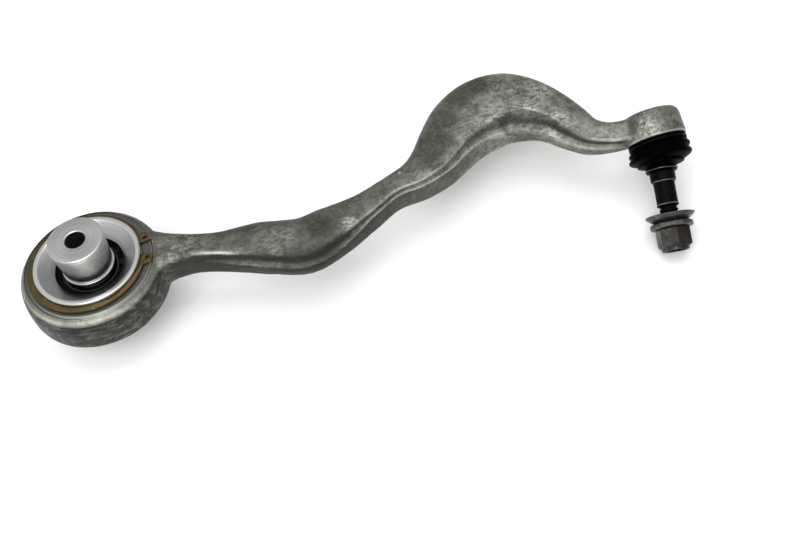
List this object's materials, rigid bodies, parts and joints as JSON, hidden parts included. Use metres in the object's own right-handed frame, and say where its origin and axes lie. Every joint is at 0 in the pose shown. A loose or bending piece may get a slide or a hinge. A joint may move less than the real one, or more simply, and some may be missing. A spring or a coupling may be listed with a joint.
{
  "type": "control arm",
  "caption": "Forged S-shaped suspension arm with a spherical-bearing bush in its eye at one end and a booted ball joint with a stud and flange nut at the other.",
  "frame": {"origin": "centre of the bush, on the axis of its mounting bolt, midway between the two spacer faces", "axes": "+Z along the bush's bolt axis towards the side with the outer circlip, +X along the arm towards the ball joint, +Y towards the goose-neck; the ball stud leans to -Y and -Z"},
  "size_m": [0.4252, 0.1462, 0.0818],
  "materials": {
    "forged_aluminium": "as-forged, blasted and handled",
    "bright_steel": "machined and zinc plated, bright",
    "yellow_zinc": "yellow-passivated zinc",
    "black_phosphate": "black phosphate, slightly oily",
    "bearing_steel": "ground and polished",
    "liner_fabric": "woven self-lubricating liner",
    "boot_rubber": "black, slight gloss",
    "seat_plastic": "natural acetal",
    "dark_steel": "dark zinc-flake coating with some rust"
  },
  "bodies": {
    "arm": {"arm_forging": "forged_aluminium", "bush_sleeve": "bright_steel", "outer_circlip": "yellow_zinc", "race_circlip": "black_phosphate", "bearing_race": "bearing_steel", "seat_lock_ring": "bright_steel", "dust_boot": "boot_rubber", "boot_upper_ring": "black_phosphate"},
    "bush_liner": {"bearing_liner": "liner_fabric"},
    "bush_ball": {"bearing_ball": "bearing_steel"},
    "bush_spacers": {"upper_spacer": "bright_steel", "lower_spacer": "bright_steel"},
    "joint_seat": {"ball_seat": "seat_plastic"},
    "boot_foot": {"boot_lower_ring": "bright_steel", "boot_slip_ring": "black_phosphate"},
    "stud": {"ball_stud": "black_phosphate"},
    "nut_carrier": {"nut_washer": "dark_steel", "cone_washer": "dark_steel"},
    "nut": {"flange_nut": "dark_steel"}
  },
  "joints": [
    {"name": "bush_direction", "type": "hinge", "parent": "arm", "child": "bush_liner", "pos_m": [0, 0, 0], "axis": [0, 0, 1], "continuous": true},
    {"name": "bush_tilt", "type": "hinge", "parent": "bush_liner", "child": "bush_ball", "pos_m": [0, 0, 0], "axis": [0, 1, 0], "range_deg": [-8, 8]},
    {"name": "bush_turn", "type": "hinge", "parent": "bush_ball", "child": "bush_spacers", "pos_m": [0, 0, 0], "axis": [0, 0, 1], "continuous": true},
    {"name": "stud_direction", "type": "hinge", "parent": "arm", "child": "joint_seat", "pos_m": [0.361, 0, 0], "axis": [0, 0.8746, 0.4848], "continuous": true},
    {"name": "stud_swing", "type": "hinge", "parent": "joint_seat", "child": "boot_foot", "pos_m": [0.361, 0, 0], "axis": [0, 0.4848, -0.8746], "range_deg": [-28, 16], "deforming": ["dust_boot"]},
    {"name": "stud_turn", "type": "hinge", "parent": "boot_foot", "child": "stud", "pos_m": [0.361, 0, 0], "axis": [0.1045, 0.8698, 0.4822], "continuous": true},
    {"name": "nut_travel", "type": "slide", "parent": "stud", "child": "nut_carrier", "axis": [-0.1045, -0.8698, -0.4822], "range_m": [0, 0.012]},
    {"name": "nut_turn", "type": "hinge", "parent": "nut_carrier", "child": "nut", "pos_m": [0.361, 0, 0], "axis": [-0.1045, -0.8698, -0.4822], "range_deg": [0, 2880]}
  ],
  "couplings": [
    {"joint": "nut_turn", "follows": "nut_travel", "rad_per_m": 4188.7}
  ]
}
